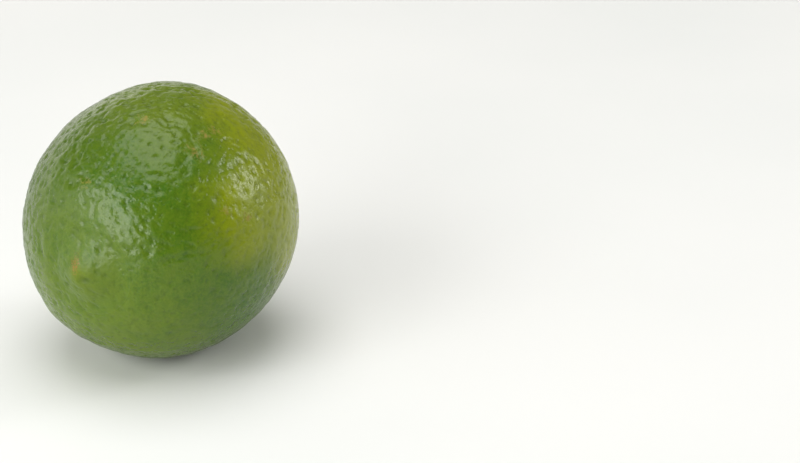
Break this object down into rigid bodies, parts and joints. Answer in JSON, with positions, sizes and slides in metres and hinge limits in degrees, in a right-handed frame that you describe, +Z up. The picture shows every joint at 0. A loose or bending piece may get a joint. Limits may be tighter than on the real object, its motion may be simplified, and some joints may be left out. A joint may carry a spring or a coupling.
{
  "type": "lime",
  "caption": "Whole round-oval lime lying on its side, with pitted rind, a low nipple at the blossom end and a small woody button at the stem end.",
  "frame": {"origin": "on the resting surface, under the middle of the fruit's outline as seen from above", "axes": "+Z up, Y along the fruit's own axis: the blossom end with the nipple faces -Y, and the stem end with the button faces +Y"},
  "size_m": [0.0538, 0.0584, 0.0537],
  "materials": {
    "peel": "waxy satin citrus rind, mid green with a yellow blush, finely pitted",
    "stem_button": "dry, matt, green-brown calyx"
  },
  "bodies": {
    "root": {"lime": "peel"}
  },
  "joints": []
}
